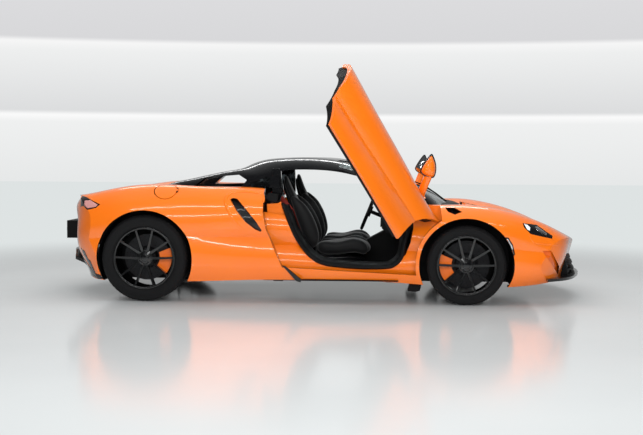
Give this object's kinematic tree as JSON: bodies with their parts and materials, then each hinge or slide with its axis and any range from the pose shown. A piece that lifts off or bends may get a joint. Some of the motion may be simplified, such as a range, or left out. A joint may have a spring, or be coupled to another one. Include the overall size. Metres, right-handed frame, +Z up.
{
  "type": "supercar",
  "caption": "Low mid-engined supercar in orange with a black roof, its doors swung up and out, on steered rolling wheels, with an opening bonnet and fuel flap.",
  "frame": {"origin": "on the ground below the middle of the car's length and width", "axes": "+X forward, +Y to the car's left, +Z up"},
  "size_m": [4.54, 3.279, 1.9245],
  "materials": {
    "orange_paint": "deep gloss clear coat over orange base",
    "black_gloss": "gloss black panels",
    "black_trim": "satin black moulded trim",
    "carbon_tub": "carbon composite, satin lacquer",
    "tyre_rubber": "road tyre",
    "wheel_black": "gloss black powder coat",
    "brake_steel": "ground disc faces",
    "caliper_orange": "orange brake paint",
    "aluminium": "bare machined",
    "exhaust_steel": "polished tips",
    "glazing": "tinted glass",
    "lamp_glass": "clear lamp lens",
    "tail_lens": "red lamp lens",
    "seat_leather": "black hide with grey stitching",
    "cabin_black": "soft cabin mouldings",
    "grey_cast": "engine block"
  },
  "bodies": {
    "root": {"front_body": "orange_paint", "sills": "orange_paint", "rear_body": "orange_paint", "engine_cover": "black_gloss", "underfloor": "black_trim", "roof_shell": "black_gloss", "windscreen": "glazing", "quarter_glass": "glazing", "rear_screen": "glazing", "rear_calipers": "caliper_orange", "rear_uprights": "aluminium", "front_wishbones": "aluminium", "rear_wishbones": "aluminium", "tub": "carbon_tub", "engine": "grey_cast", "front_liners": "black_trim", "rear_liners": "black_trim", "seats": "seat_leather", "dashboard": "cabin_black", "centre_console": "cabin_black", "headlamps": "lamp_glass", "tail_lamps": "tail_lens", "exhaust": "exhaust_steel", "tail_mesh": "black_trim", "exhaust_surround": "black_trim", "diffuser": "carbon_tub", "splitter": "carbon_tub", "front_intakes": "black_trim", "vents": "black_trim", "door_frames": "orange_paint", "hinges": "black_trim"},
    "door_right": {"door_skin_right": "orange_paint", "door_trim_right": "cabin_black", "mirror_right": "orange_paint"},
    "knuckle_right": {"knuckle_right": "aluminium", "caliper_front_right": "caliper_orange"},
    "door_left": {"door_skin_left": "orange_paint", "door_trim_left": "cabin_black", "mirror_left": "orange_paint"},
    "knuckle_left": {"knuckle_left": "aluminium", "caliper_front_left": "caliper_orange"},
    "wheel_front_right": {"tyre_front_right": "tyre_rubber", "rim_front_right": "wheel_black", "disc_front_right": "brake_steel"},
    "wheel_front_left": {"tyre_front_left": "tyre_rubber", "rim_front_left": "wheel_black", "disc_front_left": "brake_steel"},
    "wheel_rear_right": {"tyre_rear_right": "tyre_rubber", "rim_rear_right": "wheel_black", "disc_rear_right": "brake_steel"},
    "wheel_rear_left": {"tyre_rear_left": "tyre_rubber", "rim_rear_left": "wheel_black", "disc_rear_left": "brake_steel"},
    "bonnet": {"bonnet": "orange_paint"},
    "fuel_flap": {"fuel_flap": "orange_paint"},
    "steering_wheel": {"steering_wheel": "cabin_black"}
  },
  "joints": [
    {"name": "door_right", "type": "hinge", "parent": "root", "child": "door_right", "pos_m": [0.905, -0.75, 0.857], "axis": [-0.4356, 0.6853, 0.5837], "range_deg": [-66.3, 0]},
    {"name": "door_left", "type": "hinge", "parent": "root", "child": "door_left", "pos_m": [0.905, 0.75, 0.857], "axis": [0.4356, 0.6853, -0.5837], "range_deg": [-66.3, 0]},
    {"name": "steer_right", "type": "hinge", "parent": "root", "child": "knuckle_right", "pos_m": [1.252, -0.7425, 0.3235], "axis": [0, 0, 1], "range_deg": [-32, 32]},
    {"name": "steer_left", "type": "hinge", "parent": "root", "child": "knuckle_left", "pos_m": [1.252, 0.7425, 0.3235], "axis": [0, 0, 1], "range_deg": [-32, 32]},
    {"name": "steering_wheel", "type": "hinge", "parent": "root", "child": "steering_wheel", "pos_m": [0.43, 0.375, 0.7], "axis": [-0.9272, 0, 0.3746], "range_deg": [-416, 416]},
    {"name": "spin_front_right", "type": "hinge", "parent": "knuckle_right", "child": "wheel_front_right", "pos_m": [1.252, -0.825, 0.3235], "axis": [0, 1, 0], "continuous": true},
    {"name": "spin_front_left", "type": "hinge", "parent": "knuckle_left", "child": "wheel_front_left", "pos_m": [1.252, 0.825, 0.3235], "axis": [0, 1, 0], "continuous": true},
    {"name": "spin_rear_right", "type": "hinge", "parent": "root", "child": "wheel_rear_right", "pos_m": [-1.388, -0.8065, 0.357], "axis": [0, 1, 0], "continuous": true},
    {"name": "spin_rear_left", "type": "hinge", "parent": "root", "child": "wheel_rear_left", "pos_m": [-1.388, 0.8065, 0.357], "axis": [0, 1, 0], "continuous": true},
    {"name": "bonnet", "type": "hinge", "parent": "root", "child": "bonnet", "pos_m": [1.276, 0, 0.784], "axis": [0, -1, 0], "range_deg": [0, 60]},
    {"name": "fuel_flap", "type": "hinge", "parent": "root", "child": "fuel_flap", "pos_m": [-1.1295, -0.838, 0.913], "axis": [0, 0.788, 0.6157], "range_deg": [0, 80]}
  ],
  "couplings": [
    {"joint": "steer_left", "follows": "steer_right", "ratio": 1},
    {"joint": "steering_wheel", "follows": "steer_right", "ratio": 13}
  ]
}
